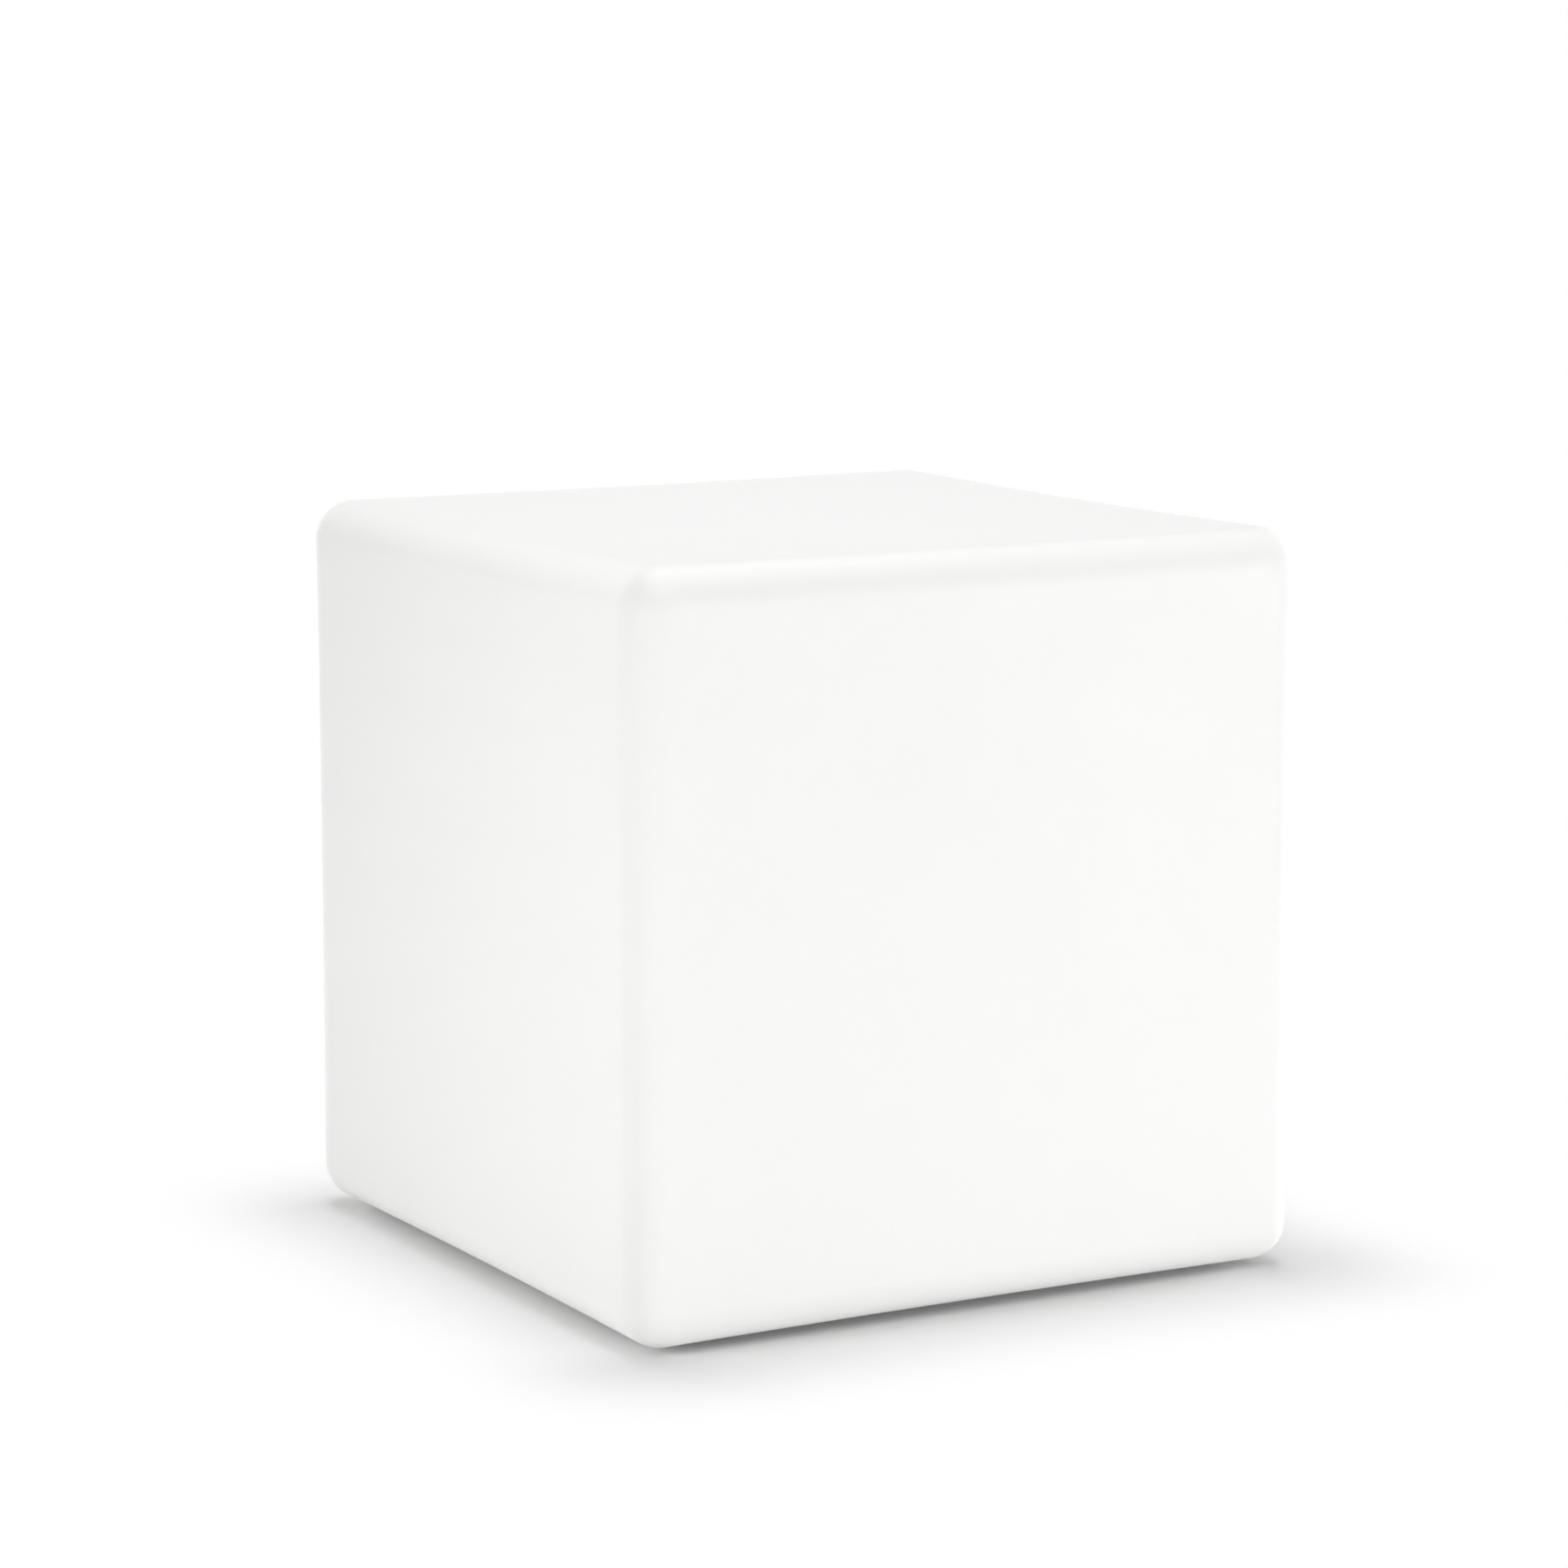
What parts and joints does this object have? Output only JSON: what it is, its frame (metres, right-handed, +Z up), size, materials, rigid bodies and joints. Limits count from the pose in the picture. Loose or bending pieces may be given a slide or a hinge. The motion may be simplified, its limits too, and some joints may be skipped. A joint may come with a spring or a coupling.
{
  "type": "cube floor lamp",
  "caption": "Cordless cube floor lamp for outdoors: a hollow milky shell on rubber feet, lit from inside by a rechargeable light unit with push buttons and a covered charging port underneath.",
  "frame": {"origin": "on the floor, under the middle of the cube", "axes": "+Z up; the front face, the brighter of the two side faces in the picture, looks along -Y; +X is to the right as one looks at the front"},
  "size_m": [0.3996, 0.3996, 0.3993],
  "materials": {
    "milky_polyethylene": "milky white, faint sheen",
    "grey_rubber": "matt",
    "white_silicone": "matt, soft",
    "black_rubber": "matt",
    "white_base_plastic": "fine moulded grain",
    "grey_button_plastic": "fine moulded grain",
    "frosted_polycarbonate": "frosted",
    "stainless_steel": "satin",
    "brass": "turned",
    "nickel": "rolled strip",
    "cell_wrap": "shrunk film",
    "green_board": "solder resist",
    "white_board": "white solder resist on metal",
    "spreader_aluminium": "rolled sheet",
    "black_component": "moulded resin",
    "capacitor_can": "satin",
    "light_chip": "yellow resin",
    "clear_polycarbonate": "clear, polished ends",
    "white_connector": "moulded",
    "red_lead": "smooth insulation",
    "black_lead": "smooth insulation"
  },
  "bodies": {
    "lamp": {"shell": "milky_polyethylene", "neck_inserts": "brass", "foot_inserts": "brass", "foot_front_left": "grey_rubber", "foot_front_right": "grey_rubber", "foot_rear_left": "grey_rubber", "foot_rear_right": "grey_rubber", "foot_screws": "stainless_steel", "vent_plug": "white_silicone", "base_gasket": "white_silicone", "base_plate": "white_base_plastic", "base_screws": "stainless_steel", "housing_seal": "black_rubber", "housing": "white_base_plastic", "housing_screws": "stainless_steel", "control_board": "green_board", "control_board_screws": "stainless_steel", "controller_chip": "black_component", "charge_inductor": "black_component", "capacitors": "capacitor_can", "charge_socket": "black_component", "charge_socket_pin": "nickel", "port_cover_pin": "stainless_steel", "charge_light_pipe": "clear_polycarbonate", "charge_light": "light_chip", "battery_tray": "black_component", "battery_tray_screws": "stainless_steel", "battery_clamp": "black_component", "battery_clamp_screws": "stainless_steel", "nickel_strip_positive": "nickel", "nickel_strip_negative": "nickel", "battery_lead_positive": "red_lead", "battery_lead_negative": "black_lead", "led_header": "white_connector", "led_lead": "black_lead", "led_board_socket": "white_connector", "lead_grommet": "black_rubber", "heat_spreader": "spreader_aluminium", "led_board": "white_board", "led_chips": "light_chip", "led_board_screws": "stainless_steel", "dome_gasket": "white_silicone", "diffuser_dome": "frosted_polycarbonate", "dome_screws": "stainless_steel", "power_switch": "black_component", "mode_switch": "black_component", "battery_cell_1": "cell_wrap", "battery_cell_2": "cell_wrap", "battery_cell_3": "cell_wrap"},
    "power_button": {"power_button": "grey_button_plastic", "power_button_boot": "white_silicone", "power_switch_stem": "white_connector"},
    "mode_button": {"mode_button": "grey_button_plastic", "mode_button_boot": "white_silicone", "mode_switch_stem": "white_connector"},
    "port_cover": {"port_cover": "white_base_plastic", "port_cover_seal": "white_silicone"}
  },
  "joints": [
    {"name": "power_button_press", "type": "slide", "parent": "lamp", "child": "power_button", "axis": [0, 0, 1], "range_m": [0, 0.0005], "stiffness_N_per_m": 1500, "springref_m": -0.0002, "deforming": ["power_button_boot"]},
    {"name": "mode_button_press", "type": "slide", "parent": "lamp", "child": "mode_button", "axis": [0, 0, 1], "range_m": [0, 0.0005], "stiffness_N_per_m": 1500, "springref_m": -0.0002, "deforming": ["mode_button_boot"]},
    {"name": "port_cover_hinge", "type": "hinge", "parent": "lamp", "child": "port_cover", "pos_m": [0, 0.0258, 0.0189], "axis": [1, 0, 0], "range_deg": [0, 95]}
  ]
}
